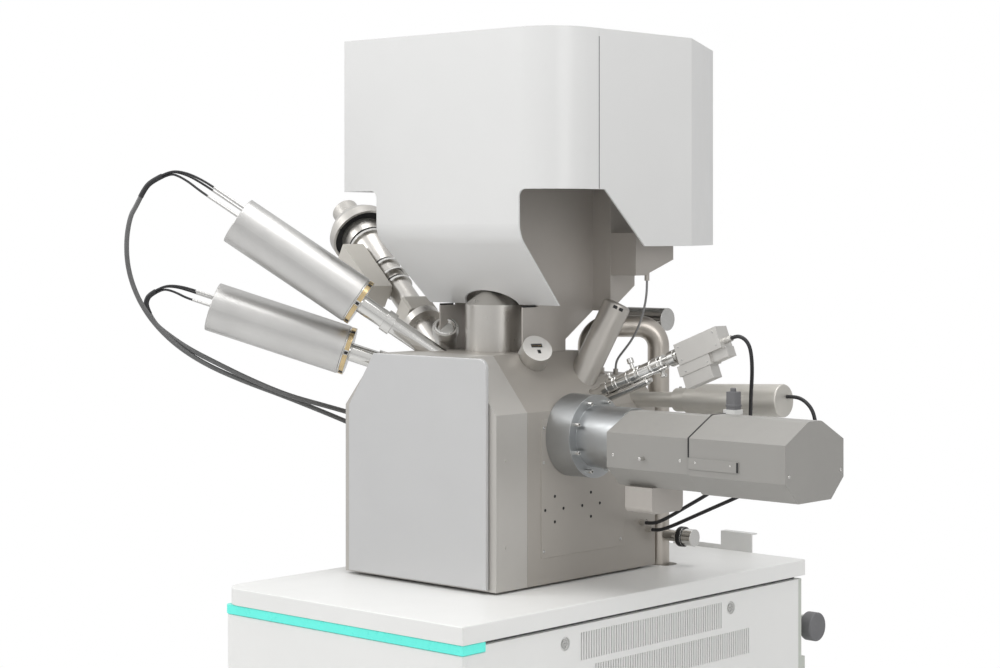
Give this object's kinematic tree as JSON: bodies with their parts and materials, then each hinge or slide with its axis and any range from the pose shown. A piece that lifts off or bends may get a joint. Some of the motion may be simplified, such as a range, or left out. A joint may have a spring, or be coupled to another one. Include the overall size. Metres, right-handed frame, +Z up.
{
  "type": "scanning electron microscope",
  "caption": "Floor-standing scanning electron microscope with an ion column, gas injectors, a sliding chamber door, a tilting specimen stage and retractable detectors on a cabinet table.",
  "frame": {"origin": "centre of the instrument's footprint, cords left out, on the floor", "axes": "+Z up, -Y towards the operator's side with the chamber door, +X towards the stage drive cover"},
  "size_m": [1.5318, 1.2309, 1.937],
  "materials": {
    "white_enamel": "smooth satin enamel",
    "shroud_enamel": "satin enamel",
    "rear_enamel": "satin enamel",
    "cover_grey": "satin enamel",
    "frame_steel": "matt powder coat",
    "chamber_metal": "fine satin coat",
    "door_metal": "fine satin",
    "machined_aluminium": "machined",
    "column_metal": "turned",
    "injector_metal": "brushed along its length",
    "pipe_steel": "drawn tube",
    "polished_metal": "polished",
    "ring_brass": "polished",
    "small_steel": "bright",
    "seal_rubber": "matt",
    "knob_plastic": "fine grain",
    "light_strip": "diffusing",
    "black_cable": "satin",
    "grey_cable": "satin",
    "hose_plastic": "smooth"
  },
  "bodies": {
    "root": {"base_frame": "frame_steel", "branch_pipe": "pipe_steel", "cable_sleeves": "black_cable", "chamber_body": "chamber_metal", "chamber_screws": "small_steel", "detector_guide": "polished_metal", "drive_cover_inner": "white_enamel", "drive_cover_outer": "white_enamel", "front_panel": "white_enamel", "gun_housing": "column_metal", "injector_cables": "grey_cable", "injector_housing_lower": "injector_metal", "injector_housing_upper": "injector_metal", "injector_leads": "black_cable", "injector_neck_lower": "polished_metal", "injector_neck_upper": "polished_metal", "injector_rings": "ring_brass", "inner_cover": "cover_grey", "ion_box": "cover_grey", "ion_column": "column_metal", "ion_head": "column_metal", "isolation_stand": "frame_steel", "isolators": "seal_rubber", "led_strip": "light_strip", "left_panel": "white_enamel", "levelling_feet": "small_steel", "objective_column": "column_metal", "oblique_port": "machined_aluminium", "panel_fasteners": "small_steel", "port_camera": "machined_aluminium", "rear_bracket": "small_steel", "rear_cable": "black_cable", "rear_detector": "injector_metal", "rear_panel": "rear_enamel", "right_panel": "white_enamel", "shroud_front": "shroud_enamel", "shroud_left": "shroud_enamel", "shroud_right": "shroud_enamel", "table_top": "white_enamel", "thin_hose": "hose_plastic", "tilt_flange": "machined_aluminium", "tilt_motor": "cover_grey", "turbo_pump": "pipe_steel", "vacuum_gauge": "pipe_steel", "vacuum_pipe": "pipe_steel", "valve_box": "cover_grey"},
    "door": {"chamber_door": "door_metal", "door_cover": "door_metal", "door_seal": "seal_rubber", "door_guides": "polished_metal"},
    "cradle": {"tilt_cradle": "machined_aluminium"},
    "z_stage": {"z_carriage": "machined_aluminium"},
    "y_stage": {"y_carriage": "machined_aluminium"},
    "x_stage": {"x_carriage": "machined_aluminium"},
    "rotation_stage": {"turntable": "machined_aluminium"},
    "detector": {"detector_head": "machined_aluminium", "detector_cable": "black_cable"},
    "knob": {"rear_knob": "knob_plastic"}
  },
  "joints": [
    {"name": "door_slide", "type": "slide", "parent": "root", "child": "door", "axis": [0, -1, 0], "range_m": [0, 0.25]},
    {"name": "tilt", "type": "hinge", "parent": "root", "child": "cradle", "pos_m": [-0.0753, -0.0695, 1.075], "axis": [1, 0, 0], "range_deg": [-5, 55]},
    {"name": "z_lift", "type": "slide", "parent": "cradle", "child": "z_stage", "axis": [0, 0, 1], "range_m": [0, 0.03]},
    {"name": "y_slide", "type": "slide", "parent": "z_stage", "child": "y_stage", "axis": [0, 1, 0], "range_m": [-0.04, 0.04]},
    {"name": "x_slide", "type": "slide", "parent": "y_stage", "child": "x_stage", "axis": [1, 0, 0], "range_m": [-0.06, 0.06]},
    {"name": "stage_rotation", "type": "hinge", "parent": "x_stage", "child": "rotation_stage", "pos_m": [-0.0753, -0.0695, 1.01], "axis": [0, 0, 1], "continuous": true},
    {"name": "detector_slide", "type": "slide", "parent": "root", "child": "detector", "axis": [0.9311, 0, 0.3649], "range_m": [0, 0.08]},
    {"name": "knob_turn", "type": "hinge", "parent": "root", "child": "knob", "pos_m": [0.3247, 0.5785, 0.598], "axis": [1, 0, 0], "continuous": true}
  ]
}
